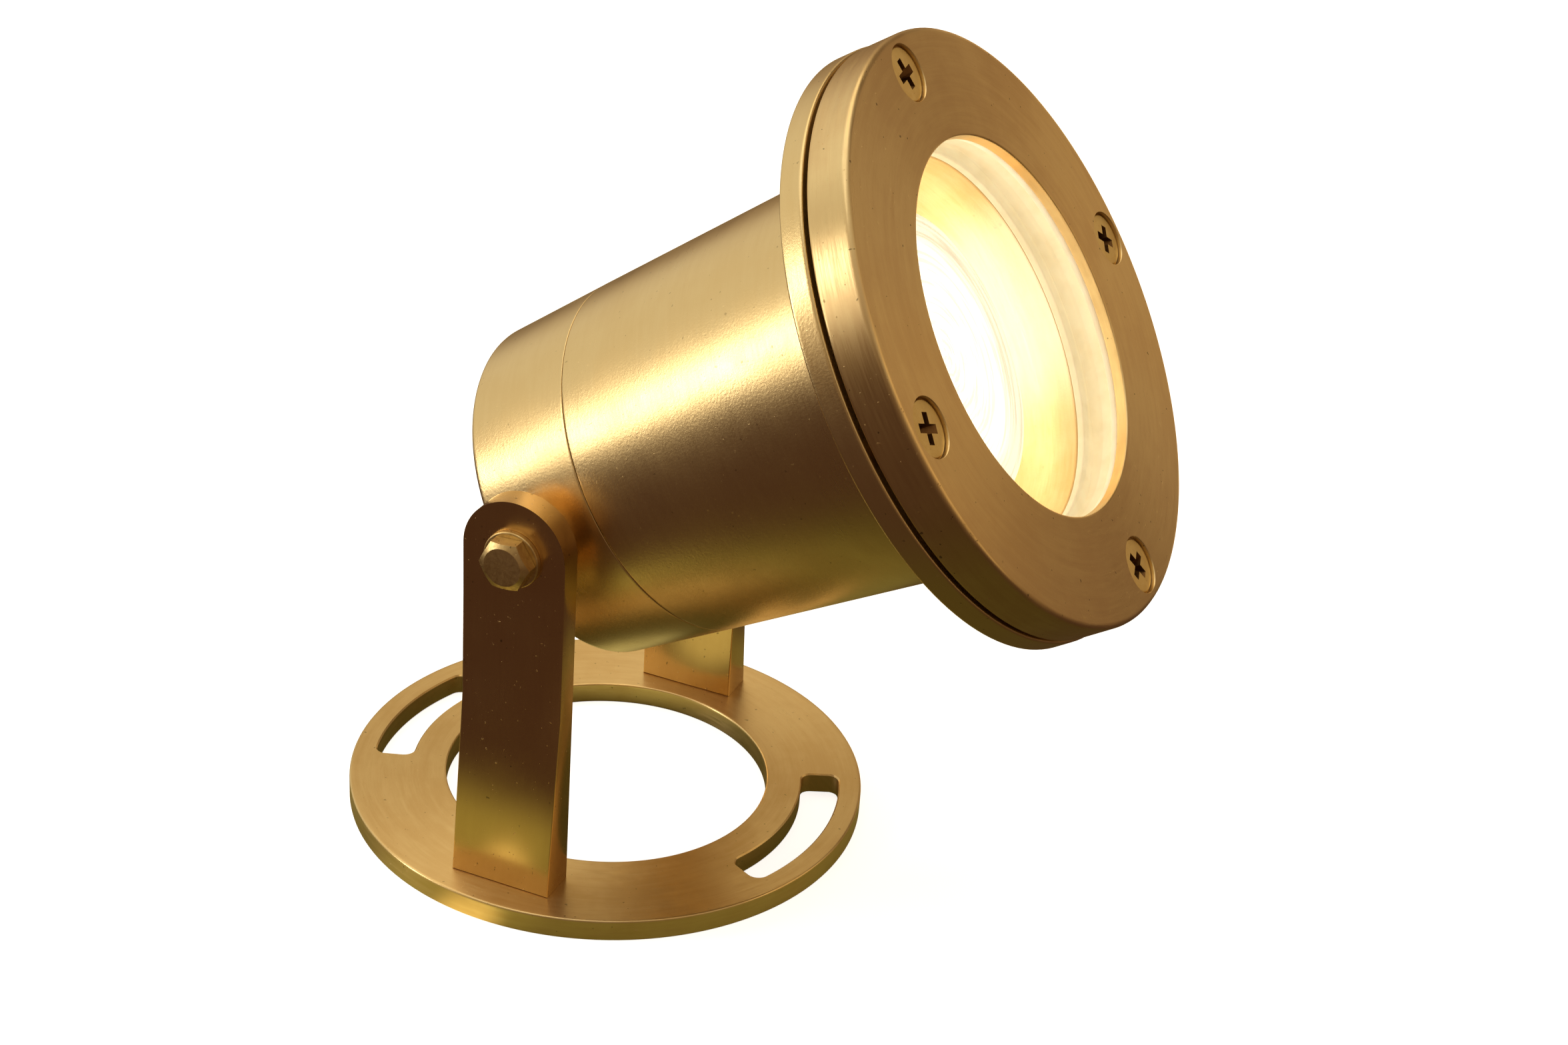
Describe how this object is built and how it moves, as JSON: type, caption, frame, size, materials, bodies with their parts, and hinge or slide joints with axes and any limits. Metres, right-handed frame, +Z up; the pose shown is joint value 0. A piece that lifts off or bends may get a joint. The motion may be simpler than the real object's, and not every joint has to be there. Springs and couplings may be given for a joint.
{
  "type": "underwater pond light",
  "caption": "Brass underwater pond light: a flanged lamp head with a bolted lens bezel that tilts between two upright arms on a slotted mounting ring.",
  "frame": {"origin": "on the ground plane, under the middle of the bounding box at the rest tilt. The mounting ring's centre is at x = -0.0245, y = 0, and the tilt axis is directly above it at z = 0.0663", "axes": "+X the way the lamp shines seen from above, at rest 32.7 degrees above the horizon; +Y to the light's own left, along the tilt axis; +Z up"},
  "size_m": [0.143, 0.0994, 0.1506],
  "materials": {
    "ring_brass": "turned satin brass, lightly tarnished",
    "arm_brass": "brushed flat bar, tarnished brown",
    "housing_brass": "bead-blasted satin brass",
    "bezel_brass": "turned satin brass, brown-pink tarnish",
    "screw_brass": "polished brass with light tarnish",
    "lens_glass": "clear tempered glass",
    "silicone": "off-white silicone",
    "black_rubber": "black nitrile rubber",
    "lamp_mirror": "mirror-coated faceted glass reflector",
    "lamp_glass": "clear cover glass",
    "lamp_glow": "lit halogen capsule",
    "ceramic": "white steatite, matt",
    "steel": "plated steel",
    "lead_sleeve": "woven glass-fibre sleeving over the wire",
    "splice_nylon": "translucent nylon closed-end splice"
  },
  "bodies": {
    "bracket": {"mounting_ring": "ring_brass", "right_arm": "arm_brass", "left_arm": "arm_brass", "arm_screw_right_rear": "screw_brass", "arm_screw_right_front": "screw_brass", "arm_screw_left_rear": "screw_brass", "arm_screw_left_front": "screw_brass"},
    "head": {"lamp_housing": "housing_brass", "rear_housing": "housing_brass", "housing_oring": "black_rubber", "bezel": "bezel_brass", "lens_gasket": "silicone", "lens_glass": "lens_glass", "bezel_screw_top": "screw_brass", "bezel_screw_left": "screw_brass", "bezel_screw_bottom": "screw_brass", "bezel_screw_right": "screw_brass", "pivot_bolt_right": "screw_brass", "pivot_washer_right": "screw_brass", "pivot_spacer_right": "arm_brass", "pivot_bolt_left": "screw_brass", "pivot_washer_left": "screw_brass", "pivot_spacer_left": "arm_brass", "lamp_reflector": "lamp_mirror", "lamp_cover_glass": "lamp_glass", "lamp_capsule": "lamp_glow", "lamp_base": "ceramic", "lamp_pin_right": "steel", "lamp_pin_left": "steel", "lamp_socket": "ceramic", "socket_contact_right": "steel", "socket_contact_left": "steel", "socket_strap": "steel", "strap_screw_right": "steel", "strap_screw_left": "steel", "socket_screw_right": "steel", "socket_screw_left": "steel", "socket_lead_right": "lead_sleeve", "socket_lead_left": "lead_sleeve", "lead_splice_right": "splice_nylon", "lead_splice_left": "splice_nylon", "gland_body": "screw_brass", "gland_nut": "screw_brass", "gland_seal": "black_rubber", "gland_washer": "black_rubber"}
  },
  "joints": [
    {"name": "head_tilt", "type": "hinge", "parent": "bracket", "child": "head", "pos_m": [-0.02449, 0, 0.0663], "axis": [0, -1, 0], "range_deg": [-43, 160]}
  ]
}
